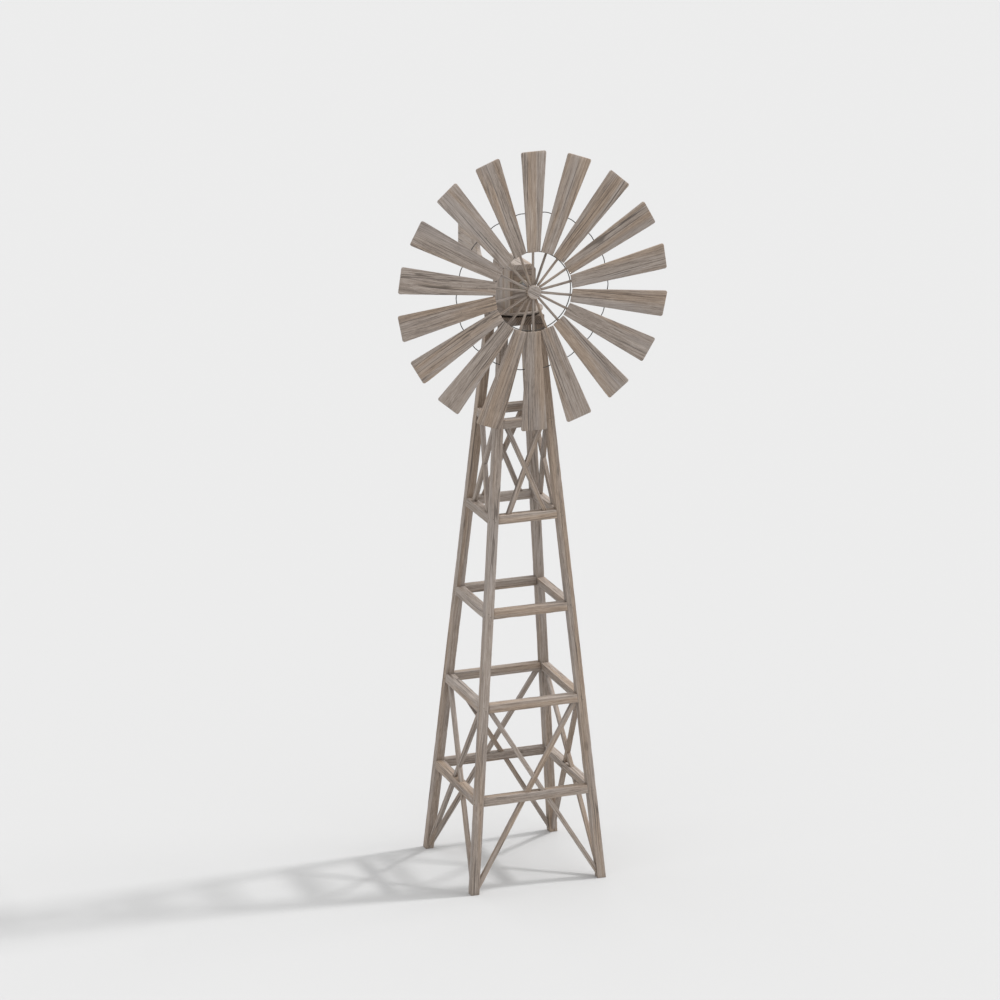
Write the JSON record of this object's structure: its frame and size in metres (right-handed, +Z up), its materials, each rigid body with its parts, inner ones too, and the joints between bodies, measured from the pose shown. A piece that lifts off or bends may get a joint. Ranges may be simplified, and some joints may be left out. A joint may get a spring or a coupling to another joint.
{
  "type": "garden windmill",
  "caption": "Ornamental timber garden windmill: a tapered braced tower, a turning head with a tail vane, and a spinning rotor of flat tapered blades.",
  "frame": {"origin": "centre of the whole object's box, on the ground", "axes": "+Z up; -Y is the front, where the rotor faces; +Y is the tail; +X is the right seen from the front"},
  "size_m": [0.9054, 0.744, 2.4422],
  "materials": {
    "weathered_wood": "matt, weathered",
    "galvanised_steel": "dull",
    "bronze": "satin"
  },
  "bodies": {
    "tower": {"leg_front_left": "weathered_wood", "leg_front_right": "weathered_wood", "leg_back_right": "weathered_wood", "leg_back_left": "weathered_wood", "rail_1_front": "weathered_wood", "rail_1_right": "weathered_wood", "rail_1_back": "weathered_wood", "rail_1_left": "weathered_wood", "rail_2_front": "weathered_wood", "rail_2_right": "weathered_wood", "rail_2_back": "weathered_wood", "rail_2_left": "weathered_wood", "rail_3_front": "weathered_wood", "rail_3_right": "weathered_wood", "rail_3_back": "weathered_wood", "rail_3_left": "weathered_wood", "rail_4_front": "weathered_wood", "rail_4_right": "weathered_wood", "rail_4_back": "weathered_wood", "rail_4_left": "weathered_wood", "rail_5_front": "weathered_wood", "rail_5_right": "weathered_wood", "rail_5_back": "weathered_wood", "rail_5_left": "weathered_wood", "cross_lower_front": "weathered_wood", "cross_lower_right": "weathered_wood", "cross_lower_back": "weathered_wood", "cross_lower_left": "weathered_wood", "cross_upper_front": "weathered_wood", "cross_upper_right": "weathered_wood", "cross_upper_back": "weathered_wood", "cross_upper_left": "weathered_wood", "tower_cap": "weathered_wood", "king_pin": "galvanised_steel"},
    "head": {"turntable_plate": "weathered_wood", "head_housing": "weathered_wood", "bearing_tube": "bronze", "tail_boom": "weathered_wood", "tail_vane": "weathered_wood"},
    "rotor": {"rotor_shaft": "galvanised_steel", "rotor_hub": "weathered_wood", "spoke_frame": "weathered_wood", "blade_01": "weathered_wood", "blade_02": "weathered_wood", "blade_03": "weathered_wood", "blade_04": "weathered_wood", "blade_05": "weathered_wood", "blade_06": "weathered_wood", "blade_07": "weathered_wood", "blade_08": "weathered_wood", "blade_09": "weathered_wood", "blade_10": "weathered_wood", "blade_11": "weathered_wood", "blade_12": "weathered_wood", "blade_13": "weathered_wood", "blade_14": "weathered_wood", "blade_15": "weathered_wood", "blade_16": "weathered_wood", "blade_17": "weathered_wood", "blade_18": "weathered_wood"}
  },
  "joints": [
    {"name": "head_yaw", "type": "hinge", "parent": "tower", "child": "head", "pos_m": [0, -0.136, 1.9], "axis": [0, 0, 1], "continuous": true},
    {"name": "rotor_spin", "type": "hinge", "parent": "head", "child": "rotor", "pos_m": [0, -0.3045, 1.989], "axis": [0, -1, 0], "continuous": true}
  ]
}
